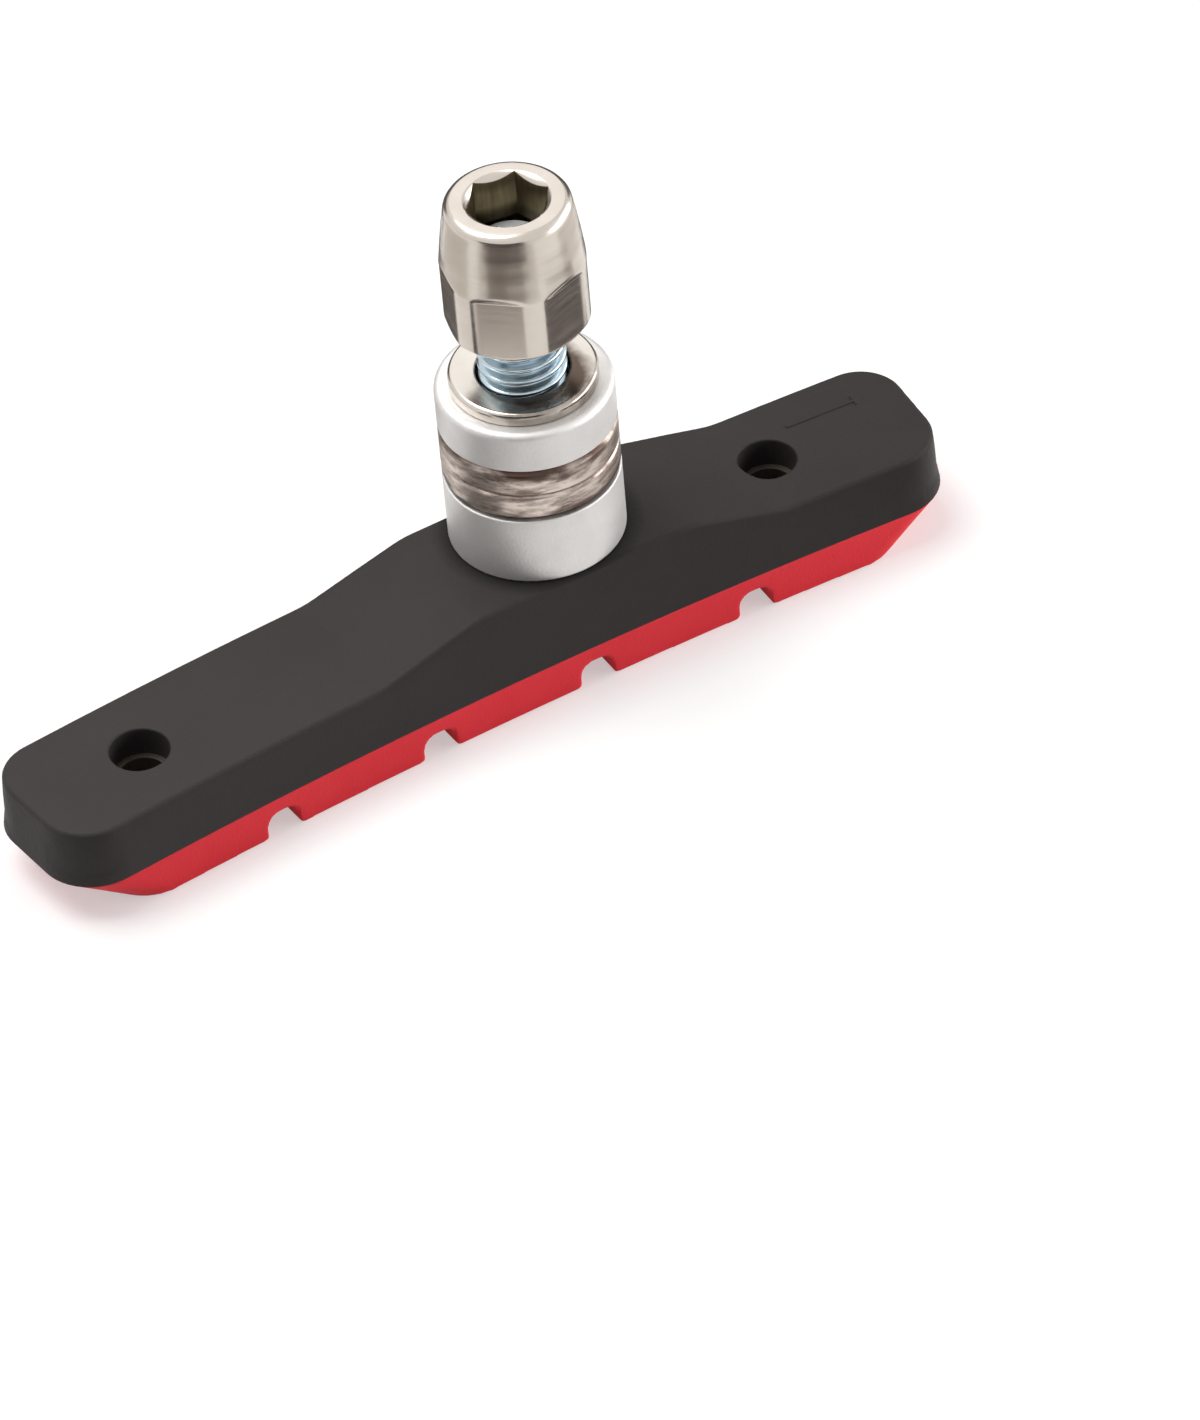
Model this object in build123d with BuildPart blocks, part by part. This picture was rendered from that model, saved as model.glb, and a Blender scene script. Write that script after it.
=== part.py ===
"""Rim brake pad with a threaded stud: a grooved rubber block bonded to a moulded backing on a steel insert,
with the pairs of domed and dished washers, the flat washer and the sleeve nut that clamp it to a brake arm.

The origin is on the friction face at mid length. X runs along the pad towards its short end, Y away from the
wheel's centre, and Z along the stud, away from the rim.
"""
from build123d import *
from math import cos, pi, radians, sin, sqrt, tan
import os

# Plan of the pad, bent to follow the rim
PAD_LENGTH = 70.4
PAD_WIDTH = 11.4
PLAN_RADIUS = 390.0
CORNER_TYRE_SIDE = 3.5
CORNER_HUB_SIDE = 3.9

# Friction block
RUBBER_HEIGHT = 3.1
BAND_HEIGHT = 1.6
BAND_LEDGE = 0.3
TYRE_BEVEL = 1.5
END_SLOPE = 3.8
HUB_END_TRIM = 0.5
FACE_CORNER_TYRE_SIDE = 1.5
FACE_CORNER_HUB_SIDE = 3.4
GROOVE_COUNT = 4
GROOVE_PITCH = 12.6
GROOVE_WIDTH = 2.5
GROOVE_DEPTH = 1.9
GROOVE_ROOF_ROUND = 1.0
GROOVE_MOUTH_ROUND = 0.3

# Backing
BACKING_END_HEIGHT = 4.35
PLATEAU_RISE = 2.0
PLATEAU_HALF_LENGTH = 8.2
RAMP_LENGTH = 7.8
RAMP_BLEND = 6.0
BACKING_DRAFT = 4.5
BACKING_TOP_BEVEL = 0.2
MOULD_HOLE_DIAMETER = 4.1
MOULD_HOLE_FROM_LONG_END = 9.2
MOULD_HOLE_FROM_SHORT_END = 11.8

# Steel insert inside the backing
PLATE_THICKNESS = 1.3
PLATE_COVER_BELOW = 0.85
PLATE_SIDE_COVER = 1.8
PLATE_END_COVER = 4.0
PLATE_CORNER = 2.0
PLATE_HOLE_DIAMETER = 3.2

# Threaded stud, riveted through the insert
STUD_X = 6.2
STUD_SIDE_OFFSET = 1.0
STUD_DIAMETER = 6.0
STUD_TIP_CHAMFER = 0.7
RIVET_DIAMETER = 4.4
RIVET_HEAD_DIAMETER = 6.0
RIVET_HEAD_HEIGHT = 0.6

# Washers
WASHER_DIAMETER = 12.1
WASHER_EDGE = 0.2
DISHED_RIM = 0.45
DISHED_BORE_CLEARANCE = 0.3
INNER_DISHED_HEIGHT = 5.25
OUTER_DISHED_HEIGHT = 3.1
OUTER_DISHED_SHOULDER = 0.45
SEAT_RADIUS = 9.0
SEAT_CLEARANCE = 0.05
DOMED_STEP = 2.2
DOMED_BORE_CLEARANCE = 1.3
FLAT_WASHER_DIAMETER = 10.1
FLAT_WASHER_BORE_CLEARANCE = 0.2
FLAT_WASHER_THICKNESS = 1.0
FLAT_WASHER_EDGE = 0.15

# Sleeve nut, screwed on until the stud meets the floor of its socket
NUT_GAP = 4.25
NUT_HEIGHT = 10.05
NUT_DIAMETER = 9.8
NUT_TOP_DIAMETER = 8.4
NUT_BULGE = 0.05
NUT_SKIRT_HEIGHT = 4.85
NUT_FLAT_DEPTH = 0.35
NUT_FLAT_RUN_OUT = 27.0
NUT_TURN = 17.0
NUT_TOP_CHAMFER = 0.5
NUT_FOOT_CHAMFER = 0.4
NUT_THREAD_CLEARANCE = 0.05
SOCKET_ACROSS_FLATS = 5.0
SOCKET_DEPTH = 3.6
SOCKET_MOUTH_CHAMFER = 0.35
SOCKET_TURN = 49.0
SOCKET_FLOOR_GAP = 0.1

# Heights of the stack, from the friction face up
JOINT_Z = RUBBER_HEIGHT
END_TOP_Z = JOINT_Z + BACKING_END_HEIGHT
PLATEAU_Z = END_TOP_Z + PLATEAU_RISE
PLATE_Z = JOINT_Z + PLATE_COVER_BELOW
PLATE_TOP_Z = PLATE_Z + PLATE_THICKNESS
INNER_RIM_Z = PLATEAU_Z + INNER_DISHED_HEIGHT
SEAM_Z = INNER_RIM_Z + DOMED_STEP
OUTER_RIM_Z = SEAM_Z + DOMED_STEP
OUTER_TOP_Z = OUTER_RIM_Z + OUTER_DISHED_HEIGHT
FLAT_TOP_Z = OUTER_TOP_Z + FLAT_WASHER_THICKNESS
NUT_Z = FLAT_TOP_Z + NUT_GAP
NUT_TOP_Z = NUT_Z + NUT_HEIGHT
SOCKET_FLOOR_Z = NUT_TOP_Z - SOCKET_DEPTH
STUD_TOP_Z = SOCKET_FLOOR_Z - SOCKET_FLOOR_GAP

# Half sizes in plan
HALF_LENGTH = PAD_LENGTH / 2
HALF_WIDTH = PAD_WIDTH / 2


def side_y(x, offset):
    """Y of the line that runs beside the bent centreline at a given offset."""
    return sqrt((PLAN_RADIUS + offset) ** 2 - x**2) - PLAN_RADIUS


def plan_point(run, offset):
    """Point at a distance along the bent centreline from mid length, and at an offset towards the tyre."""
    turn = run / PLAN_RADIUS
    radius = PLAN_RADIUS + offset
    return (radius * sin(turn), radius * cos(turn) - PLAN_RADIUS)


STUD_Y = side_y(STUD_X, 0) + STUD_SIDE_OFFSET
STUD_AXIS = Axis((STUD_X, STUD_Y, 0), (0, 0, 1))
STUD_SECTION = Plane(origin=(STUD_X, STUD_Y, 0), x_dir=(1, 0, 0), z_dir=(0, -1, 0))


def pad_plan(z, tyre_half, hub_half, tyre_end, hub_end, tyre_corner, hub_corner):
    """Plan of the pad at height z: two long sides bent about the wheel's centre, and two straight ends whose
    distances from mid length are taken along the bend."""
    with BuildSketch(Plane.XY.offset(z)) as plan:
        with BuildLine():
            tyre_side = ThreePointArc(
                plan_point(-tyre_end, tyre_half), (0, tyre_half), plan_point(tyre_end, tyre_half)
            )
            hub_side = ThreePointArc(
                plan_point(hub_end, -hub_half), (0, -hub_half), plan_point(-hub_end, -hub_half)
            )
            Line(tyre_side @ 1, hub_side @ 0)
            Line(hub_side @ 1, tyre_side @ 0)
        make_face()
        fillet(plan.vertices().sort_by(Axis.Y)[:2], hub_corner)
        fillet(plan.vertices().sort_by(Axis.Y)[-2:], tyre_corner)
    return plan.sketch


def backing_plan(z):
    """Plan of the backing at height z, drawn in by the mould's draft above the joint."""
    inset = (z - JOINT_Z) * tan(radians(BACKING_DRAFT))
    half = HALF_WIDTH - inset
    end = HALF_LENGTH - inset
    return pad_plan(z, half, half, end, end, CORNER_TYRE_SIDE, CORNER_HUB_SIDE)


def block_plan(z, tyre_inset):
    """Plan of the friction block at height z, where its sloped ends have come in and its corners changed."""
    drop = (JOINT_Z - z) / RUBBER_HEIGHT
    tyre_end = HALF_LENGTH - END_SLOPE * drop
    hub_end = tyre_end - HUB_END_TRIM * drop
    tyre_corner = CORNER_TYRE_SIDE + (FACE_CORNER_TYRE_SIDE - CORNER_TYRE_SIDE) * drop
    hub_corner = CORNER_HUB_SIDE + (FACE_CORNER_HUB_SIDE - CORNER_HUB_SIDE) * drop
    return pad_plan(z, HALF_WIDTH - tyre_inset, HALF_WIDTH, tyre_end, hub_end, tyre_corner, hub_corner)


# Rubber friction block: a band that follows the backing, then a bevelled tread crossed by water grooves
LEDGE_Z = JOINT_Z - BAND_HEIGHT

with BuildPart() as friction_block:
    loft([block_plan(JOINT_Z, 0), block_plan(LEDGE_Z, 0)], ruled=True)
    loft([block_plan(LEDGE_Z, BAND_LEDGE), block_plan(0, BAND_LEDGE + TYRE_BEVEL)], ruled=True)
    for groove in range(GROOVE_COUNT):
        turn = (groove - (GROOVE_COUNT - 1) / 2) * GROOVE_PITCH / PLAN_RADIUS
        across = Plane(
            origin=(PLAN_RADIUS * sin(turn), PLAN_RADIUS * cos(turn) - PLAN_RADIUS, 0),
            x_dir=(cos(turn), -sin(turn), 0),
            z_dir=(-sin(turn), -cos(turn), 0),
        )
        with BuildSketch(across) as groove_section:
            Rectangle(GROOVE_WIDTH, 2 * GROOVE_DEPTH)
            fillet(groove_section.vertices().sort_by(Axis.Y)[-2:], GROOVE_ROOF_ROUND)
        extrude(amount=PAD_WIDTH, both=True, mode=Mode.SUBTRACT)
    groove_reach = GROOVE_PITCH * GROOVE_COUNT / 2
    face_edges = friction_block.faces().sort_by(Axis.Z).group_by(Axis.Z)[0].edges()
    straight_edges = face_edges.filter_by(GeomType.LINE)
    groove_mouths = straight_edges.filter_by_position(Axis.X, -groove_reach, groove_reach)
    fillet(groove_mouths, GROOVE_MOUTH_ROUND)
friction_block.part.label = "friction_block"


# Moulded backing: drafted walls, a raised seat for the stud, and a pocket round the steel insert
def plate_plan(z):
    """Plan of the steel insert, which follows the pad's bend under an even cover."""
    half = HALF_WIDTH - PLATE_SIDE_COVER
    end = HALF_LENGTH - PLATE_END_COVER
    return pad_plan(z, half, half, end, end, PLATE_CORNER, PLATE_CORNER)


MOULD_HOLES_X = (MOULD_HOLE_FROM_LONG_END - HALF_LENGTH, HALF_LENGTH - MOULD_HOLE_FROM_SHORT_END)
trim_margin = PLATEAU_RISE

with BuildPart() as backing:
    extrude(backing_plan(JOINT_Z), amount=PLATEAU_Z + trim_margin - JOINT_Z)
    walls = backing.faces().filter_by(Axis.Z, reverse=True)
    draft(walls, Plane.XY.offset(JOINT_Z), BACKING_DRAFT)
    with BuildSketch(Plane.XZ) as side_view:
        plateau_start = STUD_X - PLATEAU_HALF_LENGTH
        plateau_end = STUD_X + PLATEAU_HALF_LENGTH
        with BuildLine():
            Polyline(
                (-PAD_LENGTH, JOINT_Z),
                (-PAD_LENGTH, END_TOP_Z),
                (plateau_start - RAMP_LENGTH, END_TOP_Z),
                (plateau_start, PLATEAU_Z),
                (plateau_end, PLATEAU_Z),
                (plateau_end + RAMP_LENGTH, END_TOP_Z),
                (PAD_LENGTH, END_TOP_Z),
                (PAD_LENGTH, JOINT_Z),
                close=True,
            )
        make_face()
        ramp_corners = side_view.vertices().filter_by_position(Axis.X, -HALF_LENGTH, HALF_LENGTH)
        fillet(ramp_corners, RAMP_BLEND)
    extrude(amount=PAD_WIDTH, both=True, mode=Mode.INTERSECT)
    top_edges = backing.edges().filter_by_position(Axis.Z, END_TOP_Z, PLATEAU_Z)
    across_edges = top_edges.filter_by(Axis.Y).sort_by(Axis.X)
    outer_edges = top_edges.filter_by(Axis.Y, reverse=True) + [across_edges[0], across_edges[-1]]
    chamfer(outer_edges, BACKING_TOP_BEVEL)
    extrude(plate_plan(PLATE_Z), amount=PLATE_THICKNESS, mode=Mode.SUBTRACT)
    with Locations([(x, side_y(x, 0), PLATEAU_Z) for x in MOULD_HOLES_X]):
        Hole(MOULD_HOLE_DIAMETER / 2, depth=PLATEAU_Z - PLATE_TOP_Z)
    with Locations((STUD_X, STUD_Y, PLATEAU_Z)):
        Hole(STUD_DIAMETER / 2, depth=PLATEAU_Z - PLATE_TOP_Z)
backing.part.label = "backing"

# Steel insert, with holes for the mould's pins, countersunk below for the stud's rivet head
with BuildPart() as backing_plate:
    extrude(plate_plan(PLATE_Z), amount=PLATE_THICKNESS)
    with Locations([(x, side_y(x, 0), PLATE_TOP_Z) for x in MOULD_HOLES_X]):
        Hole(PLATE_HOLE_DIAMETER / 2)
    with BuildSketch(STUD_SECTION):
        with BuildLine():
            Polyline(
                (0, PLATE_Z),
                (RIVET_HEAD_DIAMETER / 2, PLATE_Z),
                (RIVET_DIAMETER / 2, PLATE_Z + RIVET_HEAD_HEIGHT),
                (RIVET_DIAMETER / 2, PLATE_TOP_Z),
                (0, PLATE_TOP_Z),
                close=True,
            )
        make_face()
    revolve(axis=STUD_AXIS, mode=Mode.SUBTRACT)
backing_plate.part.label = "backing_plate"

# Stud, turned from one bar: rivet head, spigot through the insert, and the threaded shank
with BuildPart() as stud:
    with BuildSketch(STUD_SECTION):
        with BuildLine():
            Polyline(
                (0, PLATE_Z),
                (RIVET_HEAD_DIAMETER / 2, PLATE_Z),
                (RIVET_DIAMETER / 2, PLATE_Z + RIVET_HEAD_HEIGHT),
                (RIVET_DIAMETER / 2, PLATE_TOP_Z),
                (STUD_DIAMETER / 2, PLATE_TOP_Z),
                (STUD_DIAMETER / 2, STUD_TOP_Z - STUD_TIP_CHAMFER),
                (STUD_DIAMETER / 2 - STUD_TIP_CHAMFER, STUD_TOP_Z),
                (0, STUD_TOP_Z),
                close=True,
            )
        make_face()
    revolve(axis=STUD_AXIS)
stud.part.label = "stud"

# Washer radii, and the height of the seat's centre over the dished washer's mouth
WASHER_RADIUS = WASHER_DIAMETER / 2
DISHED_MOUTH_RADIUS = WASHER_RADIUS - DISHED_RIM
DISHED_BORE_RADIUS = STUD_DIAMETER / 2 + DISHED_BORE_CLEARANCE
DOMED_BORE_RADIUS = STUD_DIAMETER / 2 + DOMED_BORE_CLEARANCE
SEAT_CENTRE_LIFT = sqrt(SEAT_RADIUS**2 - DISHED_MOUTH_RADIUS**2)


def seat_arc(rim_z, facing, radius, inner, outer):
    """Arc of the ball seat between two distances from the stud, for a mouth at rim_z open up or down."""
    centre = rim_z + facing * SEAT_CENTRE_LIFT
    middle = (inner + outer) / 2
    points = [(r, centre - facing * sqrt(radius**2 - r**2)) for r in (inner, middle, outer)]
    return ThreePointArc(*points)


def dished_washer(name, rim_z, height, facing, back_edge):
    """Thick washer with a hollow ball seat in the face that opens up (facing 1) or down (facing -1)."""
    back_z = rim_z - facing * height
    with BuildPart() as washer:
        with BuildSketch(STUD_SECTION) as section:
            with BuildLine():
                seat = seat_arc(rim_z, facing, SEAT_RADIUS, DISHED_BORE_RADIUS, DISHED_MOUTH_RADIUS)
                Polyline(
                    seat @ 1,
                    (WASHER_RADIUS, rim_z),
                    (WASHER_RADIUS, back_z),
                    (DISHED_BORE_RADIUS, back_z),
                    seat @ 0,
                )
            make_face()
            rim_corners = section.vertices().group_by(Axis.X)[-1].sort_by(Axis.Y)
            chamfer(rim_corners[0] if facing > 0 else rim_corners[-1], back_edge)
        revolve(axis=STUD_AXIS)
    washer.part.label = name
    return washer.part


def domed_washer(name, rim_z, facing):
    """Washer with a flat face for the brake arm and a ball face that seats in the dished washer at rim_z."""
    flat_z = rim_z + facing * DOMED_STEP
    with BuildPart() as washer:
        with BuildSketch(STUD_SECTION) as section:
            with BuildLine():
                ball_radius = SEAT_RADIUS - SEAT_CLEARANCE
                dome = seat_arc(rim_z, facing, ball_radius, DOMED_BORE_RADIUS, WASHER_RADIUS)
                Polyline(dome @ 1, (WASHER_RADIUS, flat_z), (DOMED_BORE_RADIUS, flat_z), dome @ 0)
            make_face()
            chamfer(section.vertices().group_by(Axis.X)[-1], WASHER_EDGE)
        revolve(axis=STUD_AXIS)
    washer.part.label = name
    return washer.part


# The washers, from the backing up: the brake arm goes between the two domed ones
inner_dished_washer = dished_washer("inner_dished_washer", INNER_RIM_Z, INNER_DISHED_HEIGHT, 1, WASHER_EDGE)
inner_domed_washer = domed_washer("inner_domed_washer", INNER_RIM_Z, 1)
outer_domed_washer = domed_washer("outer_domed_washer", OUTER_RIM_Z, -1)
outer_dished_washer = dished_washer(
    "outer_dished_washer", OUTER_RIM_Z, OUTER_DISHED_HEIGHT, -1, OUTER_DISHED_SHOULDER
)

# Flat washer under the nut
with BuildPart() as flat_washer:
    with Locations((STUD_X, STUD_Y, OUTER_TOP_Z)):
        Cylinder(
            FLAT_WASHER_DIAMETER / 2, FLAT_WASHER_THICKNESS, align=(Align.CENTER, Align.CENTER, Align.MIN)
        )
    chamfer(flat_washer.edges(), FLAT_WASHER_EDGE)
    with Locations((STUD_X, STUD_Y, FLAT_TOP_Z)):
        Hole(STUD_DIAMETER / 2 + FLAT_WASHER_BORE_CLEARANCE)
flat_washer.part.label = "flat_washer"

# Sleeve nut: turned in two tapers that bulge past a straight cone, with six milled flats on its skirt, a
# hexagon socket and a tapped bore
HEXAGON_SIDES = 6
SKIRT_TOP_Z = NUT_Z + NUT_SKIRT_HEIGHT
SKIRT_RADIUS = NUT_DIAMETER / 2
TOP_RADIUS = NUT_TOP_DIAMETER / 2


def hexagon(z, apothem, turn):
    """Hexagon round the stud's axis at height z."""
    with BuildSketch(Plane.XY.offset(z)) as outline:
        with Locations((STUD_X, STUD_Y)):
            RegularPolygon(apothem, HEXAGON_SIDES, major_radius=False, rotation=turn)
    return outline.sketch


# Outer limit of the milled flats: straight up the skirt, then running out of the barrel above it
FLAT_APOTHEM = SKIRT_RADIUS - NUT_FLAT_DEPTH
RUN_OUT_APOTHEM = FLAT_APOTHEM + (NUT_TOP_Z - SKIRT_TOP_Z) * tan(radians(NUT_FLAT_RUN_OUT))

with BuildPart() as milled_limit:
    extrude(hexagon(NUT_Z, FLAT_APOTHEM, NUT_TURN), amount=NUT_SKIRT_HEIGHT)
    loft(
        [hexagon(SKIRT_TOP_Z, FLAT_APOTHEM, NUT_TURN), hexagon(NUT_TOP_Z, RUN_OUT_APOTHEM, NUT_TURN)],
        ruled=True,
    )

with BuildPart() as lining_nut:
    with BuildSketch(STUD_SECTION) as nut_section:
        with BuildLine():
            Polyline(
                (0, NUT_Z),
                (SKIRT_RADIUS - NUT_FOOT_CHAMFER, NUT_Z),
                (SKIRT_RADIUS, NUT_Z + NUT_FOOT_CHAMFER),
                (SKIRT_RADIUS, SKIRT_TOP_Z),
                ((SKIRT_RADIUS + TOP_RADIUS) / 2 + NUT_BULGE, (SKIRT_TOP_Z + NUT_TOP_Z) / 2),
                (TOP_RADIUS, NUT_TOP_Z),
                (0, NUT_TOP_Z),
                close=True,
            )
        make_face()
        chamfer(nut_section.vertices().group_by(Axis.Y)[-1].sort_by(Axis.X)[-1], NUT_TOP_CHAMFER)
    revolve(axis=STUD_AXIS)
    add(milled_limit.part, mode=Mode.INTERSECT)
    extrude(
        hexagon(SOCKET_FLOOR_Z, SOCKET_ACROSS_FLATS / 2, SOCKET_TURN), amount=SOCKET_DEPTH, mode=Mode.SUBTRACT
    )
    socket_corner = SOCKET_ACROSS_FLATS / 2 / cos(pi / HEXAGON_SIDES)
    with Locations((STUD_X, STUD_Y, NUT_TOP_Z - SOCKET_MOUTH_CHAMFER)):
        Cone(
            socket_corner - SOCKET_MOUTH_CHAMFER,
            socket_corner,
            SOCKET_MOUTH_CHAMFER,
            align=(Align.CENTER, Align.CENTER, Align.MIN),
            mode=Mode.SUBTRACT,
        )
    with Locations((STUD_X, STUD_Y, NUT_Z)):
        Cylinder(
            STUD_DIAMETER / 2 + NUT_THREAD_CLEARANCE,
            NUT_HEIGHT - SOCKET_DEPTH,
            align=(Align.CENTER, Align.CENTER, Align.MIN),
            mode=Mode.SUBTRACT,
        )
lining_nut.part.label = "lining_nut"

pieces = [
    friction_block.part,
    backing.part,
    backing_plate.part,
    stud.part,
    inner_dished_washer,
    inner_domed_washer,
    outer_domed_washer,
    outer_dished_washer,
    flat_washer.part,
    lining_nut.part,
]
os.makedirs("parts", exist_ok=True)
for piece in pieces:
    export_step(piece, f"parts/{piece.label}.step")
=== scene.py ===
from math import ceil, cos, hypot, pi, radians, sin, sqrt, tan

import bmesh
import bpy
from mathutils import Matrix, Vector


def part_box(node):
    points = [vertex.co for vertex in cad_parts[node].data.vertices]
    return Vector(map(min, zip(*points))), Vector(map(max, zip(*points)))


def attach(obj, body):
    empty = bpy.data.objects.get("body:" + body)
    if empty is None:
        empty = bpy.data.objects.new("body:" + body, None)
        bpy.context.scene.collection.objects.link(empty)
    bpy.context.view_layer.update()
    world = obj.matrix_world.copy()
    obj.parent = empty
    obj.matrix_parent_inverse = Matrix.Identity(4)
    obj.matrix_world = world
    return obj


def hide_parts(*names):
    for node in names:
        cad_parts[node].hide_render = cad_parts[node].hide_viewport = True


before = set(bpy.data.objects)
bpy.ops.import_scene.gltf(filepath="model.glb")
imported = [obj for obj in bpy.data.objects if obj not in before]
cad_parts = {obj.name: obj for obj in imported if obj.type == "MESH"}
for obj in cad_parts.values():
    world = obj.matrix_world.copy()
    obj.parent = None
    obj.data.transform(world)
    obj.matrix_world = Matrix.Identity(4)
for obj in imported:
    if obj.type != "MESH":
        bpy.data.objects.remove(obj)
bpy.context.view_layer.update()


# Friction block: the wearing part, a strip of red rubber compound vulcanised to the backing in one mould.
# Press moulding leaves a dull skin, eased edges, and faint clouds where the compound flowed.
MM = 0.001
BLOCK_CELL = 0.155
BLOCK_ROUNDS = 5
REMESH_DEPTH = 9
# Cells over which the easing fades out towards a flush neighbour.
FLUSH_CELLS = 3
# Most that the normal of a wall points up or down.
WALL_SLOPE = 0.25
FAIRING_ROUNDS = 30

# A Mix node keeps sockets for every kind of data. These are the ones that it mixes colours with.
FACTOR = 0
COLOUR_A = 6
COLOUR_B = 7
MIXED = 2


def linear(code):
    """Linear colour of an sRGB hex code, with full alpha."""
    channels = [int(code[start : start + 2], 16) / 255 for start in (1, 3, 5)]
    return [c / 12.92 if c <= 0.04045 else ((c + 0.055) / 1.055) ** 2.4 for c in channels] + [1.0]


def per(size_mm):
    """Texture scale at which a pattern repeats about once in that many millimetres."""
    return 1 / (size_mm * MM)


def feed(tree, node, inputs):
    """Fills a node's inputs, each by name or number, with a value or a link from another node."""
    for name, value in inputs.items():
        if isinstance(value, bpy.types.NodeSocket):
            tree.links.new(value, node.inputs[name])
        else:
            node.inputs[name].default_value = value


def add(tree, kind, inputs=None, **settings):
    """Adds one shader node with its settings, values and links."""
    node = tree.nodes.new(kind)
    for name, value in settings.items():
        setattr(node, name, value)
    feed(tree, node, inputs or {})
    return node


def new_material(name, values):
    """New material, its node tree, its shader with its constant values, and its piece's coordinates."""
    material = bpy.data.materials.new(name)
    material.use_nodes = True
    tree = material.node_tree
    shader = tree.nodes["Principled BSDF"]
    feed(tree, shader, values)
    place = add(tree, "ShaderNodeTexCoord").outputs["Object"]
    return material, tree, shader, place


def settle(piece):
    """Turns a piece's modifiers into its mesh."""
    graph = bpy.context.evaluated_depsgraph_get()
    mesh = bpy.data.meshes.new_from_object(piece.evaluated_get(graph))
    piece.modifiers.clear()
    piece.data = mesh


def moulded(name, mesh, cell, rounds, flush_z, fair_beyond=None):
    """Piece with an even mesh over a solid's form, its edges eased but where it meets a neighbour flush.
    Walls further along the pad than fair_beyond are faired, so that no facet of the solid's mesh shows."""
    piece = bpy.data.objects.new(name, mesh)
    bpy.context.scene.collection.objects.link(piece)
    low = [min(v.co[axis] for v in mesh.vertices) for axis in range(3)]
    high = [max(v.co[axis] for v in mesh.vertices) for axis in range(3)]
    even = piece.modifiers.new("even mesh", "REMESH")
    even.mode = "SHARP"
    even.octree_depth = REMESH_DEPTH
    even.scale = (high[0] - low[0]) / (cell * 2**REMESH_DEPTH)
    settle(piece)
    fade = FLUSH_CELLS * cell
    free = piece.vertex_groups.new(name="free of the neighbour")
    for vertex in piece.data.vertices:
        free.add([vertex.index], min(abs(vertex.co.z - flush_z) / fade, 1.0), "REPLACE")
    smooth = piece.modifiers.new("eased edges", "SMOOTH")
    smooth.vertex_group = free.name
    smooth.iterations = rounds
    settle(piece)
    if fair_beyond:
        ends = [v for v in piece.data.vertices if abs(v.co.x) > fair_beyond]
        walls = piece.vertex_groups.new(name="walls")
        walls.add([v.index for v in ends if abs(v.normal.z) < WALL_SLOPE], 1.0, "REPLACE")
        fair = piece.modifiers.new("fair walls", "SMOOTH")
        fair.vertex_group = walls.name
        fair.iterations = FAIRING_ROUNDS
        fair.use_z = False
        settle(piece)
    for vertex in piece.data.vertices:
        vertex.co = [min(max(c, least), most) for c, least, most in zip(vertex.co, low, high)]
    piece.data.shade_smooth()
    return piece


def red_rubber():
    """Red rubber compound, press moulded: dull, with slow clouds where it flowed and a fine grain."""
    cloud_mm = 4
    # The mould's real grain is about 0.03 mm. It is drawn coarser, so that it shows.
    grain_mm = 0.22
    material, tree, shader, place = new_material("red_rubber", {"Specular IOR Level": 0.25})
    clouds = add(tree, "ShaderNodeTexNoise", {"Vector": place, "Scale": per(cloud_mm), "Detail": 3})
    colour = add(
        tree,
        "ShaderNodeMix",
        {FACTOR: clouds.outputs["Fac"], COLOUR_A: linear("#EE323D"), COLOUR_B: linear("#FA3D48")},
        data_type="RGBA",
    )
    grain = add(
        tree, "ShaderNodeTexNoise", {"Vector": place, "Scale": per(grain_mm), "Detail": 2}
    ).outputs["Fac"]
    dull = add(tree, "ShaderNodeMapRange", {"Value": grain, "To Min": 0.5, "To Max": 0.68})
    bump = add(tree, "ShaderNodeBump", {"Height": grain, "Strength": 0.5, "Distance": 0.04 * MM})
    feed(tree, shader, {"Base Color": colour.outputs[MIXED], "Roughness": dull.outputs["Result"]})
    feed(tree, shader, {"Normal": bump.outputs["Normal"]})
    return material


joint_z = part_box("backing")[0].z
friction_block = moulded(
    "friction_block_rubber",
    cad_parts["friction_block"].data.copy(),
    cell=BLOCK_CELL * MM,
    rounds=BLOCK_ROUNDS,
    flush_z=joint_z,
)
friction_block.data.materials.clear()
friction_block.data.materials.append(red_rubber())
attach(friction_block, "pad")
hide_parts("friction_block")


# Backing: hard black rubber moulded round the steel insert in the same press as the friction block.
# It has drafted walls, a raised seat under the washers, two holes left by the pins that held the insert,
# and on its short end a plain raised arrow that was cut into the mould.
BACKING_CELL = 0.165
BACKING_ROUNDS = 5
BACKING_ENDS_FROM = 29.5
FLOOR_BELOW_INSERT = 0.05
WELD = 0.002
BEND_RADIUS = 390
END_HEIGHT = 4.35
ARROW_OFFSET = 2.2
ARROW_RELIEF = 0.085
ARROW_HEAD_LENGTH = 1.6
ARROW_FOOT = {"tail": 26.05, "tip": 32.3, "shaft": 0.2, "head": 0.62}
ARROW_TOP = {"tail": 26.15, "tip": 32.1, "shaft": 0.1, "head": 0.5}

inner_low, inner_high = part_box("inner_dished_washer")
seat_middle = (inner_low + inner_high) / 2
seat_reach = (inner_high.x - inner_low.x) / 2
insert_low, insert_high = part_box("backing_plate")


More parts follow.
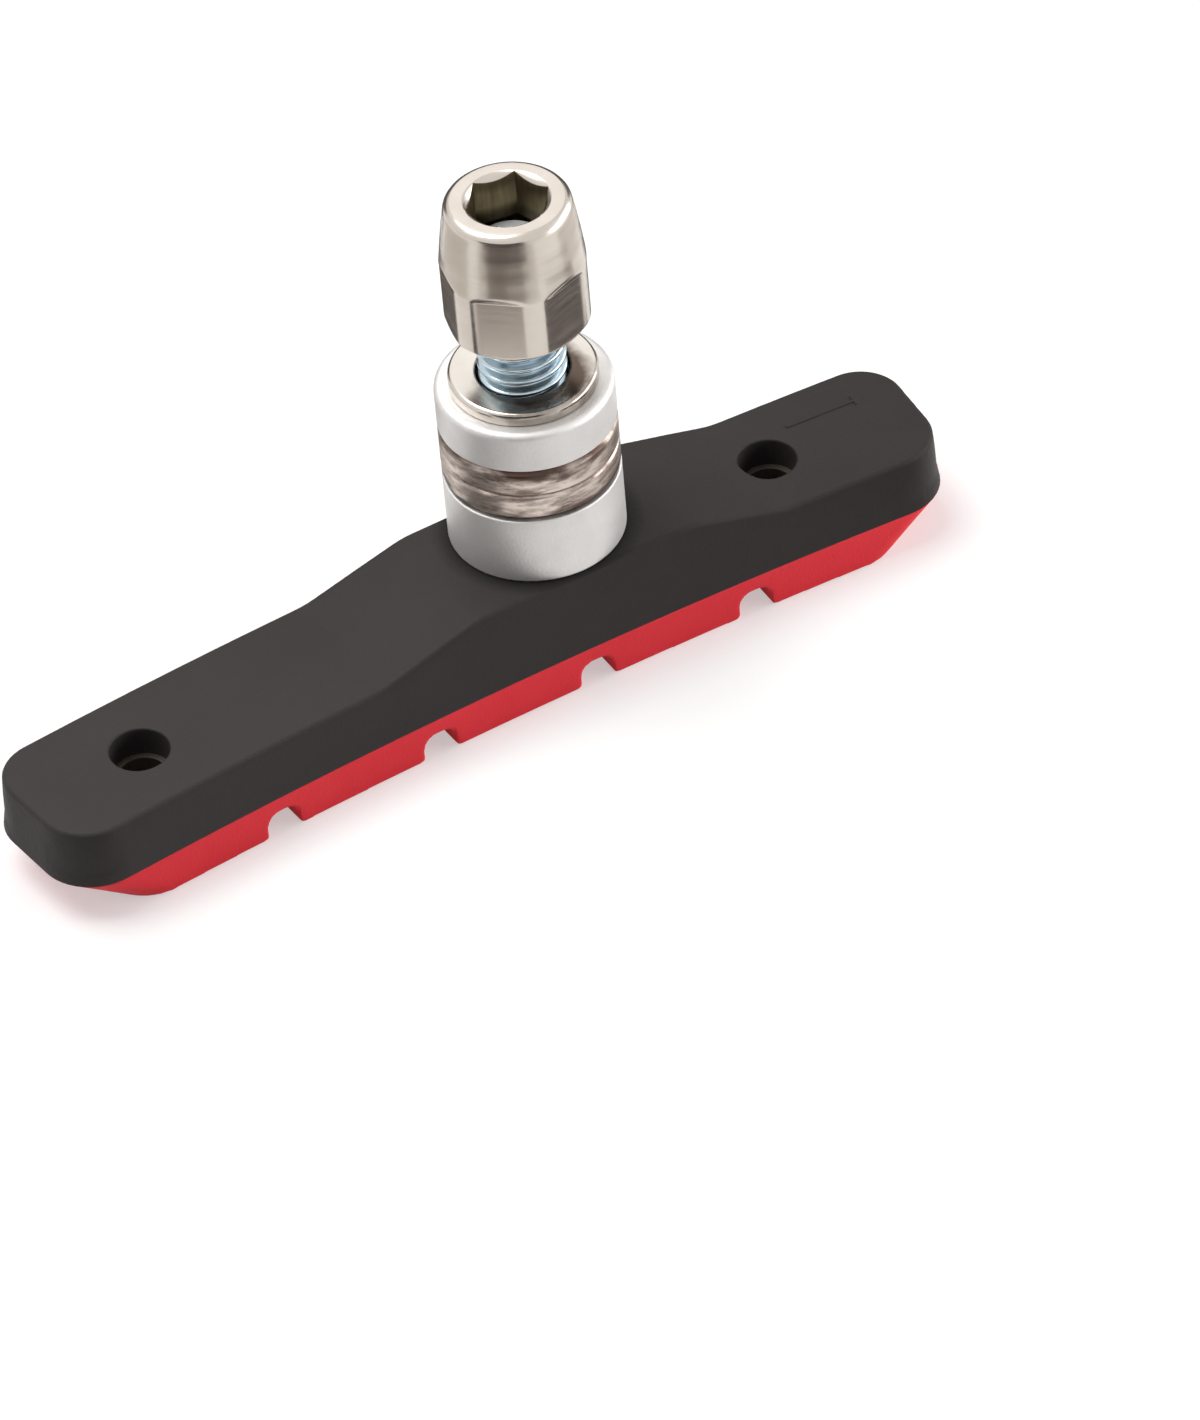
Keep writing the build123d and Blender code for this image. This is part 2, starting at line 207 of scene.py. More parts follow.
def black_rubber():
    """Hard black rubber, moulded in a spark-eroded tool: near black, with an even satin grain and a grey
    mottle. Painted light lifts it towards the long end, and painted shade darkens the top round the
    washers."""
    light_ramp_half_mm = 35
    painted_light_at_long_end = 0.55
    painted_light_at_short_end = -0.05
    mottle_mm = 7
    mottle_share = 0.4
    painted_shade_reach_mm = 1.3
    # The tool's real pits are about 0.03 mm. They are drawn coarser, so that they show.
    grain_mm = 0.2
    # Heights count this many times in the distance from the washer, so the painted shade stays on the top.
    height_weight = 10
    material, tree, shader, place = new_material("black_rubber", {"Specular IOR Level": 0.12})
    along = add(tree, "ShaderNodeSeparateXYZ", {"Vector": place}).outputs["X"]
    half = light_ramp_half_mm * MM
    # Painted light: the colour is lifted towards the long end and falls off towards the short end.
    painted_light_ramp = add(
        tree,
        "ShaderNodeMapRange",
        {
            "Value": along,
            "From Min": -half,
            "From Max": half,
            "To Min": painted_light_at_long_end,
            "To Max": painted_light_at_short_end,
        },
    )
    mottle = add(tree, "ShaderNodeTexNoise", {"Vector": place, "Scale": per(mottle_mm), "Detail": 4})
    mottle_and_painted_light = add(
        tree,
        "ShaderNodeMath",
        {0: mottle.outputs["Fac"], 1: mottle_share, 2: painted_light_ramp.outputs["Result"]},
        operation="MULTIPLY_ADD",
    )
    mottled_and_painted_light = add(
        tree,
        "ShaderNodeMix",
        {FACTOR: mottle_and_painted_light.outputs["Value"], COLOUR_A: linear("#2F2B2B"), COLOUR_B: linear("#433F3F")},
        data_type="RGBA",
    )
    # Painted shade: near black on the top close round the washers' foot, where they shade it.
    weights = (1, 1, height_weight)
    weighted = add(tree, "ShaderNodeVectorMath", {0: place, 1: weights}, operation="MULTIPLY")
    from_washer = add(
        tree,
        "ShaderNodeVectorMath",
        {0: weighted.outputs["Vector"], 1: (seat_middle.x, seat_middle.y, height_weight * inner_low.z)},
        operation="DISTANCE",
    )
    unshaded_by_washers = add(
        tree,
        "ShaderNodeMapRange",
        {
            "Value": from_washer.outputs["Value"],
            "From Min": seat_reach,
            "From Max": seat_reach + painted_shade_reach_mm * MM,
        },
    )
    washer_shade_painted = add(
        tree,
        "ShaderNodeMix",
        {FACTOR: unshaded_by_washers.outputs["Result"], COLOUR_A: linear("#161313"), COLOUR_B: mottled_and_painted_light.outputs[MIXED]},
        data_type="RGBA",
    )
    grain = add(
        tree, "ShaderNodeTexNoise", {"Vector": place, "Scale": per(grain_mm), "Detail": 2}
    ).outputs["Fac"]
    dull = add(tree, "ShaderNodeMapRange", {"Value": grain, "To Min": 0.48, "To Max": 0.62})
    bump = add(tree, "ShaderNodeBump", {"Height": grain, "Strength": 0.6, "Distance": 0.04 * MM})
    feed(tree, shader, {"Base Color": washer_shade_painted.outputs[MIXED], "Roughness": dull.outputs["Result"]})
    feed(tree, shader, {"Normal": bump.outputs["Normal"]})
    return material


def with_open_holes(mesh):
    """Takes the insert's pocket out of the backing's mesh and closes the two holes just below it."""
    shell = bmesh.new()
    shell.from_mesh(mesh)
    weld = WELD * MM
    bmesh.ops.remove_doubles(shell, verts=shell.verts, dist=weld)
    pocket = [
        face
        for face in shell.faces
        if all(insert_low.z - weld < v.co.z < insert_high.z + weld for v in face.verts)
    ]
    bmesh.ops.delete(shell, geom=pocket, context="FACES")
    hole_edges = [edge for edge in shell.edges if edge.is_boundary]
    for vertex in {v for edge in hole_edges for v in edge.verts}:
        vertex.co.z = insert_low.z - FLOOR_BELOW_INSERT * MM
    bmesh.ops.holes_fill(shell, edges=hole_edges)
    bmesh.ops.recalc_face_normals(shell, faces=shell.faces)
    shell.to_mesh(mesh)
    shell.free()
    return mesh


def arrow_outline(tail, tip, shaft, head):
    """Plan in metres of an arrow that follows the bend, from its ends and its half widths in mm."""
    neck = tip - ARROW_HEAD_LENGTH * head
    one_side = [(tail, -shaft), (neck, -shaft), (neck, -head)]
    other_side = [(neck, head), (neck, shaft), (tail, shaft)]
    outline = []
    for along, across in [*one_side, (tip, 0), *other_side]:
        out = BEND_RADIUS + ARROW_OFFSET + across
        turn = along / BEND_RADIUS
        outline.append((out * sin(turn) * MM, (out * cos(turn) - BEND_RADIUS) * MM))
    return outline


def raise_arrow(mesh):
    """Adds the arrow, a low block with sloped sides, to the backing's mesh."""
    end_top = joint_z + END_HEIGHT * MM
    relief = ARROW_RELIEF * MM
    arrow = bmesh.new()
    arrow.from_mesh(mesh)
    foot = [arrow.verts.new((x, y, end_top - relief)) for x, y in arrow_outline(**ARROW_FOOT)]
    top = [arrow.verts.new((x, y, end_top + relief)) for x, y in arrow_outline(**ARROW_TOP)]
    arrow.faces.new(list(reversed(foot)))
    arrow.faces.new(top)
    for i in range(len(foot)):
        j = (i + 1) % len(foot)
        arrow.faces.new((foot[i], foot[j], top[j], top[i]))
    arrow.to_mesh(mesh)
    arrow.free()


backing = moulded(
    "backing_rubber",
    with_open_holes(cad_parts["backing"].data.copy()),
    cell=BACKING_CELL * MM,
    rounds=BACKING_ROUNDS,
    flush_z=joint_z,
    fair_beyond=BACKING_ENDS_FROM * MM,
)
raise_arrow(backing.data)
backing.data.materials.clear()
backing.data.materials.append(black_rubber())
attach(backing, "pad")
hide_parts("backing")


# Steel insert: a pressed strip inside the backing that spreads the stud's load. It shows only as the grey
# floor of the two mould holes, under a thin smear of rubber.
def pressed_steel():
    """Cold-rolled steel under a film of moulding rubber: dark grey, semi-matt, with patches."""
    film_mm = 1.2
    material, tree, shader, place = new_material("pressed_steel", {"Metallic": 1.0})
    film = add(
        tree, "ShaderNodeTexNoise", {"Vector": place, "Scale": per(film_mm), "Detail": 5}
    ).outputs["Fac"]
    colour = add(
        tree,
        "ShaderNodeMix",
        {FACTOR: film, COLOUR_A: linear("#4A443D"), COLOUR_B: linear("#7A7268")},
        data_type="RGBA",
    )
    dull = add(tree, "ShaderNodeMapRange", {"Value": film, "To Min": 0.6, "To Max": 0.4})
    feed(tree, shader, {"Base Color": colour.outputs[MIXED], "Roughness": dull.outputs["Result"]})
    return material


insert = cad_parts["backing_plate"]
insert.data.materials.clear()
insert.data.materials.append(pressed_steel())


# Stud: a steel bar riveted through the insert, with a rolled M6 thread and a chamfered tip.
# Blue-bright zinc plate gives it a cold tint against the warm nickel round it.
STUD_COLUMNS = 96
STUD_RADIUS = 3.0
TIP_CHAMFER = 0.7
RIVET_HEAD_RADIUS = 3.0
RIVET_HEAD_HEIGHT = 0.6
RIVET_RADIUS = 2.2
THREAD_PITCH = 1.0
THREAD_DEPTH = 0.6
THREAD_RUN_IN = 0.5
ROWS_PER_PITCH = 16
CREST_SHARE = 0.14
FLANK_SHARE = 0.66

stud_low, stud_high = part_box("stud")
stud_axis = (stud_low + stud_high) / 2


def ringed(name, rows, closed):
    """Piece made of rings round the stud's axis. Each row lists (radius, height) in mm at even angles.
    A closed mesh joins its last ring to its first; an open one is capped at both ends."""
    columns = len(rows[0])
    turns = [(cos(2 * pi * c / columns), sin(2 * pi * c / columns)) for c in range(columns)]
    points = []
    for row in rows:
        for (radius, height), (x, y) in zip(row, turns):
            points.append((stud_axis.x + radius * x * MM, stud_axis.y + radius * y * MM, height * MM))
    faces = []
    count = len(rows)
    for lower in range(count if closed else count - 1):
        below = lower * columns
        above = (lower + 1) % count * columns
        for c in range(columns):
            d = (c + 1) % columns
            faces.append((below + c, below + d, above + d, above + c))
    if not closed:
        faces.append(tuple(reversed(range(columns))))
        faces.append(tuple((count - 1) * columns + c for c in range(columns)))
    mesh = bpy.data.meshes.new(name)
    mesh.from_pydata(points, [], faces)
    mesh.shade_smooth()
    piece = bpy.data.objects.new(name, mesh)
    bpy.context.scene.collection.objects.link(piece)
    return piece


def thread_depth(turn):
    """Depth below the crest, in mm, of a rolled thread with rounded roots, at a part of one turn."""
    slope = abs(2 * (turn % 1) - 1)
    cut = min(max((slope - CREST_SHARE) / FLANK_SHARE, 0), 1)
    return THREAD_DEPTH * (3 * cut**2 - 2 * cut**3)


def stud_rows():
    """Rings of the stud from its rivet head up to its tip."""
    foot = stud_low.z / MM
    shoulder = insert_high.z / MM
    thread_start = inner_low.z / MM + THREAD_RUN_IN
    tip = stud_high.z / MM
    plain = [
        (RIVET_HEAD_RADIUS, foot),
        (RIVET_RADIUS, foot + RIVET_HEAD_HEIGHT),
        (RIVET_RADIUS, shoulder),
        (STUD_RADIUS, shoulder),
        (STUD_RADIUS, thread_start - THREAD_RUN_IN),
    ]
    rows = [[point] * STUD_COLUMNS for point in plain]
    steps = ceil((tip - thread_start) / THREAD_PITCH * ROWS_PER_PITCH)
    for step in range(steps + 1):
        height = thread_start + (tip - thread_start) * step / steps
        crest = min(STUD_RADIUS, STUD_RADIUS - TIP_CHAMFER + tip - height)
        row = []
        for c in range(STUD_COLUMNS):
            radius = STUD_RADIUS - thread_depth(height / THREAD_PITCH - c / STUD_COLUMNS)
            row.append((min(radius, crest), height))
        rows.append(row)
    return rows


def blue_zinc():
    """Steel with blue-bright zinc plate: a cool, fairly sharp shine with duller, darker spots."""
    spot_mm = 0.9
    material, tree, shader, place = new_material("blue_zinc", {"Metallic": 1.0})
    spots = add(
        tree, "ShaderNodeTexNoise", {"Vector": place, "Scale": per(spot_mm), "Detail": 4}
    ).outputs["Fac"]
    colour = add(
        tree,
        "ShaderNodeMix",
        {FACTOR: spots, COLOUR_A: linear("#A8BDCA"), COLOUR_B: linear("#D4E1E8")},
        data_type="RGBA",
    )
    shine = add(tree, "ShaderNodeMapRange", {"Value": spots, "To Min": 0.3, "To Max": 0.16})
    feed(tree, shader, {"Base Color": colour.outputs[MIXED], "Roughness": shine.outputs["Result"]})
    return material


def sheared_zinc():
    """End of the bar where it was cut off, plated with the rest: pale and cold, with a matt tooth."""
    # The torn metal's real tooth is about 0.2 mm. It is drawn coarser, so that it shows.
    tooth_mm = 0.5
    material, tree, shader, place = new_material("sheared_zinc", {})
    tooth = add(
        tree, "ShaderNodeTexNoise", {"Vector": place, "Scale": per(tooth_mm), "Detail": 5}
    ).outputs["Fac"]
    colour = add(
        tree,
        "ShaderNodeMix",
        {FACTOR: tooth, COLOUR_A: linear("#E8EDF2"), COLOUR_B: linear("#FAFCFE")},
        data_type="RGBA",
    )
    dull = add(tree, "ShaderNodeMapRange", {"Value": tooth, "To Min": 0.78, "To Max": 0.6})
    bump = add(tree, "ShaderNodeBump", {"Height": tooth, "Strength": 0.3, "Distance": 0.05 * MM})
    feed(tree, shader, {"Base Color": colour.outputs[MIXED], "Roughness": dull.outputs["Result"]})
    feed(tree, shader, {"Normal": bump.outputs["Normal"]})
    return material


stud = ringed("stud_threaded", stud_rows(), closed=False)
stud.data.materials.append(blue_zinc())
stud.data.materials.append(sheared_zinc())
for face in stud.data.polygons:
    if face.center.z > stud_high.z - TIP_CHAMFER * MM:
        face.material_index = 1
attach(stud, "pad")
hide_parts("stud")


# Dished washers: the thick one on the backing and the thin one under the flat washer, turned from steel
# bar with a hollow ball seat, then tumbled and zinc plated, which leaves an even satin white.
WASHER_COLUMNS = 256
INSIDE_THE_SOLID = 0.006
SEAT_RADIUS = 9.0
SEAT_RIM = 0.45
SEAT_STEPS = 8
DISHED_BORE = 3.3
BORE_ROUND = 0.15
FOOT_ROUND = 0.08
RIM_ROUND = 0.12
OUTER_SHOULDER_ROUND = 0.45
ROUND_STEPS = 5
ROUND_LEAD = 0.3

washer_radius = (inner_high.x - inner_low.x) / 2 / MM - INSIDE_THE_SOLID
seat_mouth = washer_radius - SEAT_RIM
inner_foot = inner_low.z / MM
inner_rim = inner_high.z / MM
outer_low, outer_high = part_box("outer_dished_washer")
outer_rim = outer_low.z / MM
outer_top = outer_high.z / MM


def eased(corners):
    """Closed outline in mm with its corners rounded. Each corner is (radius, height, rounding)."""
    outline = []
    count = len(corners)
    for i, (r, z, rounding) in enumerate(corners):
        here = Vector((r, z))
        if rounding == 0:
            outline.append((r, z))
            continue
        before = (Vector(corners[i - 1][:2]) - here).normalized()
        after = (Vector(corners[(i + 1) % count][:2]) - here).normalized()
        half = before.angle(after) / 2
        reach = rounding / tan(half)
        centre = here + (before + after).normalized() * rounding / sin(half)
        start = here + before * reach - centre
        end = here + after * reach - centre
        sweep = start.angle_signed(end)
        lead = ROUND_LEAD * rounding
        outline.append(tuple(here + before * (reach + lead)))
        for step in range(ROUND_STEPS + 1):
            turn = Matrix.Rotation(-sweep * step / ROUND_STEPS, 2)
            outline.append(tuple(centre + turn @ start))
        outline.append(tuple(here + after * (reach + lead)))
    return outline


def seat_height(rim, facing, radius, out):
    """Height of the ball seat at a distance from the axis. Its mouth at rim opens up (1) or down (-1)."""
    centre = rim + facing * sqrt(SEAT_RADIUS**2 - seat_mouth**2)
    return centre - facing * sqrt(radius**2 - out**2)


def seat_points(rim, facing, radius, first, last):
    """Corners along the ball seat between two distances from the axis, with no rounding."""
    reach = [first + (last - first) * step / SEAT_STEPS for step in range(SEAT_STEPS + 1)]
    return [(r, seat_height(rim, facing, radius, r), 0) for r in reach]


def washer(name, node, corners, material):
    """Turned washer that stands for its CAD node."""
    piece = ringed(name, [[point] * WASHER_COLUMNS for point in eased(corners)], closed=True)
    piece.data.materials.append(material)
    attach(piece, "pad")
    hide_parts(node)


def tumbled_zinc():
    """Tumbled steel with dull zinc plate: pale satin, with a random tooth, faint grey handling marks and a
    thin line of painted shade where the thick washer stands on the backing."""
    mark_mm = 2.5
    # Tumbling leaves a tooth of about 0.05 mm. It is drawn coarser, so that it shows.
    tooth_mm = 0.2
    darkening_from_mm = 0.02
    darkening_to_mm = 0.14
    material, tree, shader, place = new_material("tumbled_zinc", {"Metallic": 0.7})
    marks = add(tree, "ShaderNodeTexNoise", {"Vector": place, "Scale": per(mark_mm), "Detail": 5})
    colour = add(
        tree,
        "ShaderNodeMix",
        {FACTOR: marks.outputs["Fac"], COLOUR_A: linear("#D8D4D1"), COLOUR_B: linear("#ECEAE8")},
        data_type="RGBA",
    )
    # Painted shade: a dark line along the thick washer's foot, where it meets the backing.
    clear = add(
        tree,
        "ShaderNodeMapRange",
        {
            "Value": add(tree, "ShaderNodeSeparateXYZ", {"Vector": place}).outputs["Z"],
            "From Min": inner_low.z + darkening_from_mm * MM,
            "From Max": inner_low.z + darkening_to_mm * MM,
        },
    )
    painted_foot_shade = add(
        tree,
        "ShaderNodeMix",
        {FACTOR: clear.outputs["Result"], COLOUR_A: linear("#4A433C"), COLOUR_B: colour.outputs[MIXED]},
        data_type="RGBA",
    )
    tooth = add(
        tree, "ShaderNodeTexNoise", {"Vector": place, "Scale": per(tooth_mm), "Detail": 3}
    ).outputs["Fac"]
    satin = add(tree, "ShaderNodeMapRange", {"Value": tooth, "To Min": 0.46, "To Max": 0.6})
    bump = add(tree, "ShaderNodeBump", {"Height": tooth, "Strength": 0.6, "Distance": 0.05 * MM})
    feed(tree, shader, {"Base Color": painted_foot_shade.outputs[MIXED], "Roughness": satin.outputs["Result"]})
    feed(tree, shader, {"Normal": bump.outputs["Normal"]})
    return material


dished_zinc = tumbled_zinc()
inner_corners = [
    (DISHED_BORE, inner_foot, BORE_ROUND),
    (washer_radius, inner_foot, FOOT_ROUND),
    (washer_radius, inner_rim, RIM_ROUND),
    *seat_points(inner_rim, 1, SEAT_RADIUS, seat_mouth, DISHED_BORE),
]
washer(
    "inner_dished_washer_zinc", "inner_dished_washer", inner_corners, dished_zinc
)
outer_corners = [
    *seat_points(outer_rim, -1, SEAT_RADIUS, DISHED_BORE, seat_mouth),
    (washer_radius, outer_rim, RIM_ROUND),
    (washer_radius, outer_top, OUTER_SHOULDER_ROUND),
    (DISHED_BORE, outer_top, BORE_ROUND),
]
washer(
    "outer_dished_washer_zinc", "outer_dished_washer", outer_corners, dished_zinc
)


# Domed washers: two turned steel rings, flat where the brake arm is clamped and domed where they seat in
# the dished ones. Their plating is thin, so oil and rust have stained the rims brown in streaks. The
# stains' seed puts a dark patch at the front of the upper dome as a painted dark reflection.
STAIN_AND_PAINTED_REFLECTION_SEED = 1.4
DOMED_BORE = 4.3
SEAT_CLEARANCE = 0.05
DOME_EDGE = 0.4
DOME_RIM_ROUND = 0.35
SEAM_ROUND = 0.3

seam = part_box("inner_domed_washer")[1].z / MM
domed_ball = SEAT_RADIUS - SEAT_CLEARANCE


def stained_steel():
    """Thinly plated steel, turned, with oil and rust stains: a broken shine, light metal between dull
    brown streaks round the rim, and brown grime that has crept in patches from the dished washers, one of
    them set at the front of the upper dome as a painted dark reflection."""
    streak_mm = 2.4
    streaks_flatter = 4
    stained_below = 0.36
    bare_above = 0.58
    patch_mm = 5
    least_creep_mm = -0.1
    most_creep_mm = 0.9
    ragged_mm = 0.35
    grime_fade_mm = 0.7
    rim_from_seam_mm = seam - inner_rim
    material, tree, shader, place = new_material("stained_steel", {})
    flattened = add(tree, "ShaderNodeMapping", {"Vector": place, "Scale": (1, 1, streaks_flatter)})
    streaks = add(
        tree,
        "ShaderNodeTexNoise",
        {
            "Vector": flattened.outputs["Vector"],
            "W": STAIN_AND_PAINTED_REFLECTION_SEED,
            "Scale": per(streak_mm),
            "Detail": 7,
            "Roughness": 0.68,
        },
        noise_dimensions="4D",
    ).outputs["Fac"]
    bare = add(
        tree, "ShaderNodeMapRange", {"Value": streaks, "From Min": stained_below, "From Max": bare_above}
    ).outputs["Result"]
    metal = add(
        tree,
        "ShaderNodeMix",
        {FACTOR: bare, COLOUR_A: linear("#6E594E"), COLOUR_B: linear("#D6C9BF")},
        data_type="RGBA",
    )
    height = add(tree, "ShaderNodeSeparateXYZ", {"Vector": place}).outputs["Z"]
    above_seam = add(tree, "ShaderNodeMath", {0: height, 1: seam * MM}, operation="SUBTRACT")
    from_seam = add(tree, "ShaderNodeMath", {0: above_seam.outputs["Value"]}, operation="ABSOLUTE")
    # Partly painted reflection: with this seed the grime patches darken the front of the upper dome, as a
    # dark reflection would.
    patches = add(
        tree,
        "ShaderNodeTexNoise",
        {"Vector": place, "W": STAIN_AND_PAINTED_REFLECTION_SEED, "Scale": per(patch_mm), "Detail": 3},
        noise_dimensions="4D",
    )
    creep = add(
        tree,
        "ShaderNodeMapRange",
        {
            "Value": patches.outputs["Fac"],
            "From Min": 0.35,
            "From Max": 0.65,
            "To Min": least_creep_mm * MM,
            "To Max": most_creep_mm * MM,
        },
    )
    ragged = add(
        tree,
        "ShaderNodeMath",
        {0: bare, 1: -ragged_mm * MM, 2: from_seam.outputs["Value"]},
        operation="MULTIPLY_ADD",
    )
    reached = add(
        tree, "ShaderNodeMath", {0: ragged.outputs["Value"], 1: creep.outputs["Result"]}, operation="ADD"
    )
    clean = add(
        tree,
        "ShaderNodeMapRange",
        {
            "Value": reached.outputs["Value"],
            "From Min": rim_from_seam_mm * MM,
            "From Max": (rim_from_seam_mm - grime_fade_mm) * MM,
        },
    )
    colour = add(
        tree,
        "ShaderNodeMix",
        {FACTOR: clean.outputs["Result"], COLOUR_A: linear("#5A463D"), COLOUR_B: metal.outputs[MIXED]},
        data_type="RGBA",
    )
    shine = add(tree, "ShaderNodeMapRange", {"Value": bare, "To Min": 0.55, "To Max": 0.3})
    metallic = add(tree, "ShaderNodeMapRange", {"Value": bare, "To Min": 0.35, "To Max": 0.9})
    bump = add(tree, "ShaderNodeBump", {"Height": streaks, "Strength": 0.3, "Distance": 0.06 * MM})
    feed(tree, shader, {"Base Color": colour.outputs[MIXED], "Roughness": shine.outputs["Result"]})
    feed(tree, shader, {"Metallic": metallic.outputs["Result"], "Normal": bump.outputs["Normal"]})
    return material


domed_steel = stained_steel()
domed_corners = [
    *seat_points(inner_rim, 1, domed_ball, DOMED_BORE, washer_radius - DOME_EDGE),
    (washer_radius, seat_height(inner_rim, 1, domed_ball, washer_radius), DOME_RIM_ROUND),
    (washer_radius, seam, SEAM_ROUND),
    (DOMED_BORE, seam, 0),
]
washer(
    "inner_domed_washer_stained", "inner_domed_washer", domed_corners, domed_steel
)
domed_mirrored = [(r, 2 * seam - z, rounding) for r, z, rounding in reversed(domed_corners)]
washer(
    "outer_domed_washer_stained", "outer_domed_washer", domed_mirrored, domed_steel
)


# Flat washer: stamped from steel strip, which rounds its upper edge, and bright nickel plated, so that it
# mirrors the stud and the nut over it. Old grease has left a brown ring round its bore, and a painted dark
# reflection widens the ring on the hub side.
GRIME_SEED = 1.0
FLAT_BORE = 3.2
FLAT_BORE_FOOT_ROUND = 0.1
FLAT_FOOT_ROUND = 0.15
FLAT_TOP_ROUND = 0.32
FLAT_BORE_TOP_ROUND = 0.12


def bright_nickel(name, light, dark, line_mm, roughest, dark_ring_edge=None):
    """Bright nickel plate over turned or stamped steel: a warm mirror with fine lines round the axis, and
    soft brown grime round a bore of the given radius in mm, widened on the pad's hub side by a painted
    dark reflection."""
    tarnish_mm = 2.2
    patch_mm = 3
    ragged_mm = 3.2
    painted_reflection_lean = 0.4
    darkening_from_mm = -2.1
    darkening_to_mm = -1.1
    material, tree, shader, place = new_material(name, {"Metallic": 1.0})
    axis = (stud_axis.x, stud_axis.y, 0)
    centred = add(tree, "ShaderNodeVectorMath", {0: place, 1: axis}, operation="SUBTRACT")
    parts = add(tree, "ShaderNodeSeparateXYZ", {"Vector": centred.outputs["Vector"]})
    level = add(tree, "ShaderNodeCombineXYZ", {"X": parts.outputs["X"], "Y": parts.outputs["Y"]})
    reach = add(tree, "ShaderNodeVectorMath", {0: level.outputs["Vector"]}, operation="LENGTH")
    out = reach.outputs["Value"]
    section = add(tree, "ShaderNodeCombineXYZ", {"X": out, "Y": parts.outputs["Z"]})
    lines = add(
        tree,
        "ShaderNodeTexNoise",
        {"Vector": section.outputs["Vector"], "Scale": per(line_mm), "Detail": 3},
        noise_dimensions="2D",
    ).outputs["Fac"]
    tarnish = add(tree, "ShaderNodeTexNoise", {"Vector": place, "Scale": per(tarnish_mm), "Detail": 4})
    colour = add(
        tree,
        "ShaderNodeMix",
        {FACTOR: tarnish.outputs["Fac"], COLOUR_A: linear(dark), COLOUR_B: linear(light)},
        data_type="RGBA",
    )
    if dark_ring_edge:
        patches = add(
            tree,
            "ShaderNodeTexNoise",
            {"Vector": place, "W": GRIME_SEED, "Scale": per(patch_mm), "Detail": 4},
            noise_dimensions="4D",
        )
        ragged = add(
            tree,
            "ShaderNodeMath",
            {0: patches.outputs["Fac"], 1: -ragged_mm * MM, 2: out},
            operation="MULTIPLY_ADD",
        )
        # Painted reflection: the dark ring is widened towards the hub side, which faces the camera, as a
        # dark reflection of the stud.
        leaning = add(
            tree,
            "ShaderNodeMath",
            {0: parts.outputs["Y"], 1: painted_reflection_lean, 2: ragged.outputs["Value"]},
            operation="MULTIPLY_ADD",
        )
        clean = add(
            tree,
            "ShaderNodeMapRange",
            {
                "Value": leaning.outputs["Value"],
                "From Min": (dark_ring_edge + darkening_from_mm) * MM,
                "From Max": (dark_ring_edge + darkening_to_mm) * MM,
            },
        )
        plate = colour.outputs[MIXED]
        colour = add(
            tree,
            "ShaderNodeMix",
            {FACTOR: clean.outputs["Result"], COLOUR_A: linear("#5E5046"), COLOUR_B: plate},
            data_type="RGBA",
        )
    shine = add(tree, "ShaderNodeMapRange", {"Value": lines, "To Min": roughest / 2, "To Max": roughest})
    bump = add(tree, "ShaderNodeBump", {"Height": lines, "Strength": 0.05, "Distance": 0.01 * MM})
    feed(tree, shader, {"Base Color": colour.outputs[MIXED], "Roughness": shine.outputs["Result"]})
    feed(tree, shader, {"Normal": bump.outputs["Normal"]})
    return material


flat_low, flat_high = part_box("flat_washer")
flat_radius = (flat_high.x - flat_low.x) / 2 / MM
flat_foot = flat_low.z / MM
flat_top = flat_high.z / MM
flat_corners = [
    (FLAT_BORE, flat_foot, FLAT_BORE_FOOT_ROUND),
    (flat_radius, flat_foot, FLAT_FOOT_ROUND),
    (flat_radius, flat_top, FLAT_TOP_ROUND),
    (FLAT_BORE, flat_top, FLAT_BORE_TOP_ROUND),
]
# Tools leave lines about 0.05 mm apart. Here and on the nut they are drawn coarser, so that they show.
flat_nickel = bright_nickel(
    "stamped_nickel", "#D9D4CD", "#C8BFB5", line_mm=0.2, roughest=0.26, dark_ring_edge=3.15
)
washer("flat_washer_nickel", "flat_washer", flat_corners, flat_nickel)


# Sleeve nut: turned from steel bar with a taper, six milled flats on the skirt, a broached hexagon socket
# in the top and a tapped bore, then bright nickel plated. Fine turning lines stay under the plate.
NUT_COLUMNS = 360
NUT_SKIRT_RADIUS = 4.9
NUT_SKIRT_HEIGHT = 4.85
NUT_TOP_RADIUS = 4.2
NUT_BULGE = 0.05
NUT_BORE = 3.05
TURNING_RIPPLE = 0.004
TURNING_RIPPLE_PITCH = 1.45
BARREL_STEPS = 40
BARREL_END = 0.9
FOOT_CHAMFER = 0.4
FOOT_CHAMFER_ROUND = 0.15
NUT_BORE_ROUND = 0.2
NUT_TOP_ROUND = 0.7
OUTLINE_STEP = 0.09
NUT_FLAT = 4.6
NUT_FLAT_BLEND = 0.16
NUT_FLAT_RUN_OUT = 27
NUT_CORNER_ANGLE = 17
HEXAGON_STEP = 60
SOCKET_FLAT = 2.5
SOCKET_DEPTH = 3.6
SOCKET_CORNER_ANGLE = 49
SOCKET_RING = 0.12
SOCKET_EDGE = 0.03
SOCKET_EDGE_SINK = 0.02
SOCKET_WALL_PARTS = (0.3, 0.6, 1)

nut_low, nut_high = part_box("lining_nut")


def hexagon_reach(flat, corner_angle, angle):
    """Distance from the axis to a hexagon's side at an angle in degrees."""
    from_corner = (angle - corner_angle) % HEXAGON_STEP
    return flat / cos(radians(from_corner - HEXAGON_STEP / 2))


def soft_smaller(a, b, blend):
    """The smaller of two values, with the change from one to the other rounded over a blend."""
    mix = min(max(0.5 + 0.5 * (b - a) / blend, 0), 1)
    return b + (a - b) * mix - blend * mix * (1 - mix)


def fine(outline, step):
    """Outline with its long runs divided, so that no point is further than a step from the next."""
    points = [outline[0]]
    for (r0, z0), (r1, z1) in zip(outline, outline[1:]):
        parts = max(1, ceil(hypot(r1 - r0, z1 - z0) / step))
        for part in range(1, parts + 1):
            points.append((r0 + (r1 - r0) * part / parts, z0 + (z1 - z0) * part / parts))
    return points


